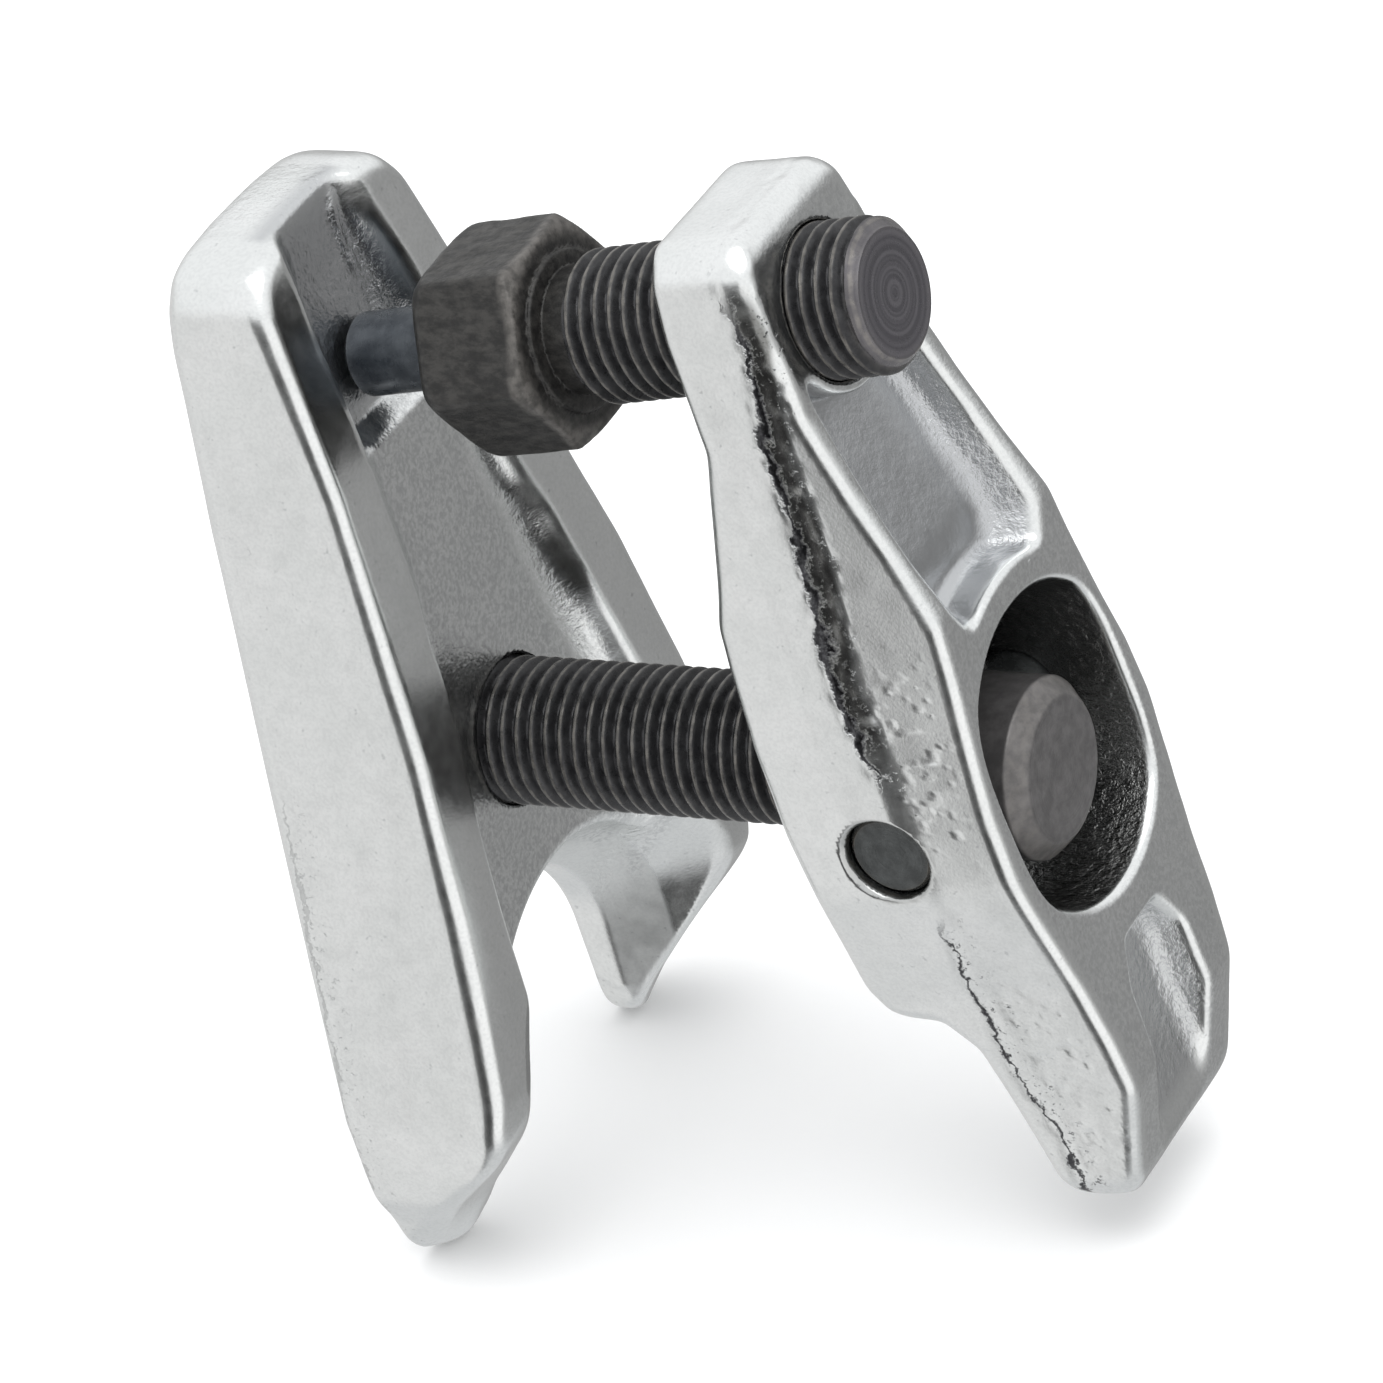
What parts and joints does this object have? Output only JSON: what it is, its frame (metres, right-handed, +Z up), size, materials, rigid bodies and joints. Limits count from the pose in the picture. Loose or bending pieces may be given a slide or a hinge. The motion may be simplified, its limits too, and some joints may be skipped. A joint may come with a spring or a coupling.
{
  "type": "ball joint separator",
  "caption": "Screw-operated ball joint separator: a forged fork arm and a lever arm joined by a threaded pivot bolt, spread by a forcing screw.",
  "frame": {"origin": "on the floor under the tool, midway between the fork arm's back and the lever arm's front and on the tool's plane of symmetry; the tool stands on the tips of its fork with the pivot bolt level", "axes": "+X along the pivot bolt from the fork arm to the lever arm, +Y across the tool along the cross pin, +Z up, from the fork's tips to the crown"},
  "size_m": [0.1018, 0.0692, 0.1352],
  "materials": {
    "plated_fork": "bright plating over a forged surface",
    "plated_lever": "bright plating over a forged surface",
    "black_bolt": "black oxide, turned and threaded",
    "black_pin": "black oxide, turned",
    "brown_screw": "brown-black oxide, forged hexagon",
    "blued_pin": "blue-black oxide, turned"
  },
  "bodies": {
    "fork": {"fork_arm": "plated_fork"},
    "bolt": {"pivot_bolt": "black_bolt"},
    "lever": {"lever_arm": "plated_lever", "cross_pin": "black_pin"},
    "thrust": {"thrust_pin": "blued_pin"},
    "screw": {"forcing_screw": "brown_screw"}
  },
  "joints": [
    {"name": "opening_adjust", "type": "slide", "parent": "fork", "child": "bolt", "axis": [1, 0, 0], "range_m": [0, 0.01]},
    {"name": "lever_swing", "type": "hinge", "parent": "bolt", "child": "lever", "pos_m": [0.0298, 0, 0.06], "axis": [0, 1, 0], "range_deg": [-0.9, 8.8]},
    {"name": "screw_travel", "type": "slide", "parent": "lever", "child": "thrust", "axis": [-0.989, 0, -0.1478], "range_m": [-0.00101, 0.01001]},
    {"name": "screw_turn", "type": "hinge", "parent": "thrust", "child": "screw", "pos_m": [0.0207, 0, 0.12092], "axis": [-0.989, 0, -0.1478], "range_deg": [-180, 1800]}
  ],
  "couplings": [
    {"joint": "screw_travel", "follows": "screw_turn", "m_per_rad": 0.00031831},
    {"joint": "lever_swing", "follows": "screw_turn", "ratio": 0.0048721}
  ]
}
